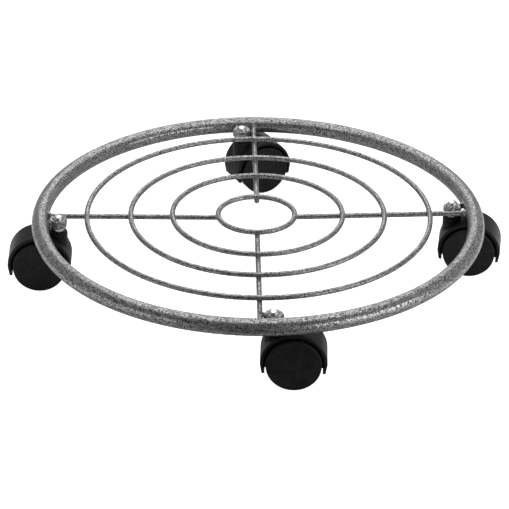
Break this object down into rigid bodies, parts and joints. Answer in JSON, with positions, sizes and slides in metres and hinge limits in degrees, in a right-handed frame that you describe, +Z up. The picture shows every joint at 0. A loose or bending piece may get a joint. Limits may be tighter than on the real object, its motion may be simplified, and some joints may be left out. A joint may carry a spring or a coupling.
{
  "type": "plant pot caddy",
  "caption": "Round pot trolley: concentric wire rings welded on crossed spokes in a tube ring, rolling on hooded twin-wheel swivel casters.",
  "frame": {"origin": "on the floor, under the middle of the tube ring", "axes": "+Z up, +X towards the right-hand caster, +Y towards the back caster"},
  "size_m": [0.3806, 0.3507, 0.0574],
  "materials": {
    "hammertone_frame": "silver-grey hammered paint with dark flecks",
    "zinc_steel": "bright zinc plate",
    "spring_steel": "dark spring steel",
    "hood_plastic": "satin black moulding",
    "wheel_plastic": "matte black moulding"
  },
  "bodies": {
    "frame": {"outer_ring": "hammertone_frame", "grid_ring_inner": "hammertone_frame", "grid_ring_second": "hammertone_frame", "grid_ring_third": "hammertone_frame", "grid_ring_outer": "hammertone_frame", "weld_beads": "hammertone_frame", "front_spoke": "hammertone_frame", "front_weld_nut": "hammertone_frame", "front_stem": "zinc_steel", "front_stem_clip": "spring_steel", "right_spoke": "hammertone_frame", "right_weld_nut": "hammertone_frame", "right_stem": "zinc_steel", "right_stem_clip": "spring_steel", "back_spoke": "hammertone_frame", "back_weld_nut": "hammertone_frame", "back_stem": "zinc_steel", "back_stem_clip": "spring_steel", "left_spoke": "hammertone_frame", "left_weld_nut": "hammertone_frame", "left_stem": "zinc_steel", "left_stem_clip": "spring_steel"},
    "front_caster": {"front_caster_hood": "hood_plastic", "front_caster_axle": "zinc_steel"},
    "front_wheel_right": {"front_caster_wheel_right": "wheel_plastic"},
    "front_wheel_left": {"front_caster_wheel_left": "wheel_plastic"},
    "right_caster": {"right_caster_hood": "hood_plastic", "right_caster_axle": "zinc_steel"},
    "right_wheel_right": {"right_caster_wheel_right": "wheel_plastic"},
    "right_wheel_left": {"right_caster_wheel_left": "wheel_plastic"},
    "back_caster": {"back_caster_hood": "hood_plastic", "back_caster_axle": "zinc_steel"},
    "back_wheel_right": {"back_caster_wheel_right": "wheel_plastic"},
    "back_wheel_left": {"back_caster_wheel_left": "wheel_plastic"},
    "left_caster": {"left_caster_hood": "hood_plastic", "left_caster_axle": "zinc_steel"},
    "left_wheel_right": {"left_caster_wheel_right": "wheel_plastic"},
    "left_wheel_left": {"left_caster_wheel_left": "wheel_plastic"}
  },
  "joints": [
    {"name": "front_swivel", "type": "hinge", "parent": "frame", "child": "front_caster", "pos_m": [0.01179, -0.15219, 0.0441], "axis": [0, 0, 1], "continuous": true},
    {"name": "front_wheel_right_spin", "type": "hinge", "parent": "front_caster", "child": "front_wheel_right", "pos_m": [0.02649, -0.15244, 0.02], "axis": [0.0175, 0.9998, 0], "continuous": true},
    {"name": "front_wheel_left_spin", "type": "hinge", "parent": "front_caster", "child": "front_wheel_left", "pos_m": [0.02649, -0.15244, 0.02], "axis": [0.0175, 0.9998, 0], "continuous": true},
    {"name": "right_swivel", "type": "hinge", "parent": "frame", "child": "right_caster", "pos_m": [0.14957, 0.02003, 0.0441], "axis": [0, 0, 1], "continuous": true},
    {"name": "right_wheel_right_spin", "type": "hinge", "parent": "right_caster", "child": "right_wheel_right", "pos_m": [0.16416, 0.01824, 0.02], "axis": [0.1219, 0.9925, 0], "continuous": true},
    {"name": "right_wheel_left_spin", "type": "hinge", "parent": "right_caster", "child": "right_wheel_left", "pos_m": [0.16416, 0.01824, 0.02], "axis": [0.1219, 0.9925, 0], "continuous": true},
    {"name": "back_swivel", "type": "hinge", "parent": "frame", "child": "back_caster", "pos_m": [-0.01422, 0.14948, 0.0441], "axis": [0, 0, 1], "continuous": true},
    {"name": "back_wheel_right_spin", "type": "hinge", "parent": "back_caster", "child": "back_wheel_right", "pos_m": [-0.00112, 0.15615, 0.02], "axis": [-0.454, 0.891, 0], "continuous": true},
    {"name": "back_wheel_left_spin", "type": "hinge", "parent": "back_caster", "child": "back_wheel_left", "pos_m": [-0.00112, 0.15615, 0.02], "axis": [-0.454, 0.891, 0], "continuous": true},
    {"name": "left_swivel", "type": "hinge", "parent": "frame", "child": "left_caster", "pos_m": [-0.15184, -0.0114, 0.0441], "axis": [0, 0, 1], "continuous": true},
    {"name": "left_wheel_right_spin", "type": "hinge", "parent": "left_caster", "child": "left_wheel_right", "pos_m": [-0.16653, -0.01191, 0.02], "axis": [0.0349, -0.9994, 0], "continuous": true},
    {"name": "left_wheel_left_spin", "type": "hinge", "parent": "left_caster", "child": "left_wheel_left", "pos_m": [-0.16653, -0.01191, 0.02], "axis": [0.0349, -0.9994, 0], "continuous": true}
  ]
}
